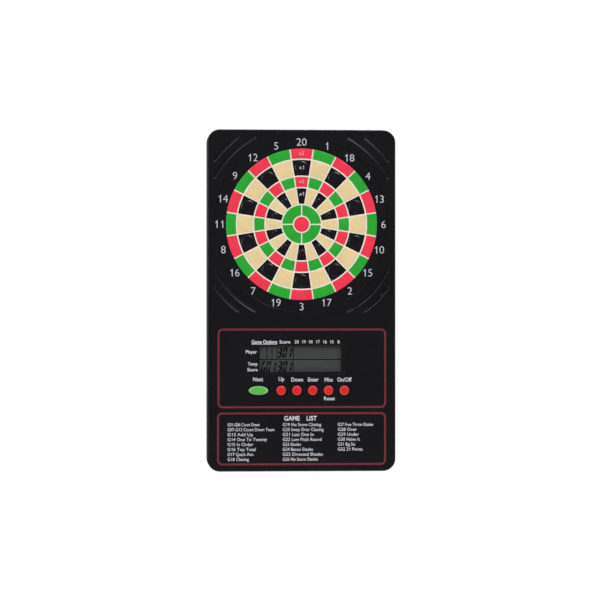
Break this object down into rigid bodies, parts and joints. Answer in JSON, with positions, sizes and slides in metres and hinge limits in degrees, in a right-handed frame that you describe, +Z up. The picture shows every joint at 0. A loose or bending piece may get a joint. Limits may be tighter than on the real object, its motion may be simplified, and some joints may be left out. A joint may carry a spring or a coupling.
{
  "type": "electronic dartboard",
  "caption": "Wall-hung electronic dart game with a round embossed touch board, display window, push keys and a sliding battery door.",
  "frame": {"origin": "on the flat back face, straight behind the bull's-eye", "axes": "+Z up, +X to the right seen from the front, the front faces -Y"},
  "size_m": [0.182, 0.0297, 0.33],
  "materials": {
    "case_plastic": "fine texture",
    "key_red": "gloss",
    "key_green": "gloss",
    "film_black": "satin",
    "print_white": "satin",
    "print_red": "satin",
    "print_green": "satin",
    "print_cream": "satin",
    "clear_film": "gloss",
    "window_tint": "gloss",
    "display_glass": "gloss",
    "holder_plastic": "matte",
    "silicone": "matte",
    "conductive_rubber": "matte",
    "circuit_board": "satin",
    "epoxy": "gloss",
    "component": "gloss",
    "steel": "satin",
    "nickel": "gloss",
    "magnet": "satin",
    "cone_paper": "matte",
    "cell_sleeve": "satin",
    "wire_black": "satin",
    "wire_red": "satin"
  },
  "bodies": {
    "case": {"front_shell": "case_plastic", "rear_shell": "case_plastic", "overlay_sheet": "film_black", "overlay_lines": "print_white", "pads_red": "print_red", "pads_green": "print_green", "pads_black": "film_black", "pads_cream": "print_cream", "upper_circuit_film": "clear_film", "spacer_film": "clear_film", "lower_circuit_film": "clear_film", "adhesive_sheet": "clear_film", "membrane_tail": "clear_film", "tail_connector": "holder_plastic", "display_window": "window_tint", "lcd_glass": "display_glass", "lcd_holder": "holder_plastic", "zebra_strips": "conductive_rubber", "main_board": "circuit_board", "processor_cover": "epoxy", "board_components": "component", "board_screws": "steel", "housing_screws": "steel", "keypad_mat": "silicone", "speaker_frame": "steel", "speaker_cone": "cone_paper", "speaker_magnet": "magnet", "speaker_wires": "wire_black", "battery_wire_red": "wire_red", "battery_wire_black": "wire_black", "battery_1": "cell_sleeve", "battery_2": "cell_sleeve", "battery_3": "cell_sleeve", "battery_contacts": "nickel", "battery_springs": "nickel"},
    "door": {"battery_door": "case_plastic"},
    "next_button": {"key_next": "key_green", "pill_next": "conductive_rubber"},
    "up_button": {"key_up": "key_red", "pill_up": "conductive_rubber"},
    "down_button": {"key_down": "key_red", "pill_down": "conductive_rubber"},
    "enter_button": {"key_enter": "key_red", "pill_enter": "conductive_rubber"},
    "miss_button": {"key_miss": "key_red", "pill_miss": "conductive_rubber"},
    "power_button": {"key_power": "key_red", "pill_power": "conductive_rubber"}
  },
  "joints": [
    {"name": "next_press", "type": "slide", "parent": "case", "child": "next_button", "axis": [0, 1, 0], "range_m": [0, 0.001], "stiffness_N_per_m": 300, "springref_m": -0.002, "deforming": ["keypad_mat"]},
    {"name": "up_press", "type": "slide", "parent": "case", "child": "up_button", "axis": [0, 1, 0], "range_m": [0, 0.001], "stiffness_N_per_m": 300, "springref_m": -0.002, "deforming": ["keypad_mat"]},
    {"name": "down_press", "type": "slide", "parent": "case", "child": "down_button", "axis": [0, 1, 0], "range_m": [0, 0.001], "stiffness_N_per_m": 300, "springref_m": -0.002, "deforming": ["keypad_mat"]},
    {"name": "enter_press", "type": "slide", "parent": "case", "child": "enter_button", "axis": [0, 1, 0], "range_m": [0, 0.001], "stiffness_N_per_m": 300, "springref_m": -0.002, "deforming": ["keypad_mat"]},
    {"name": "miss_press", "type": "slide", "parent": "case", "child": "miss_button", "axis": [0, 1, 0], "range_m": [0, 0.001], "stiffness_N_per_m": 300, "springref_m": -0.002, "deforming": ["keypad_mat"]},
    {"name": "power_press", "type": "slide", "parent": "case", "child": "power_button", "axis": [0, 1, 0], "range_m": [0, 0.001], "stiffness_N_per_m": 300, "springref_m": -0.002, "deforming": ["keypad_mat"]},
    {"name": "door_slide", "type": "slide", "parent": "case", "child": "door", "axis": [0, 0, -1], "range_m": [0, 0.05]}
  ]
}
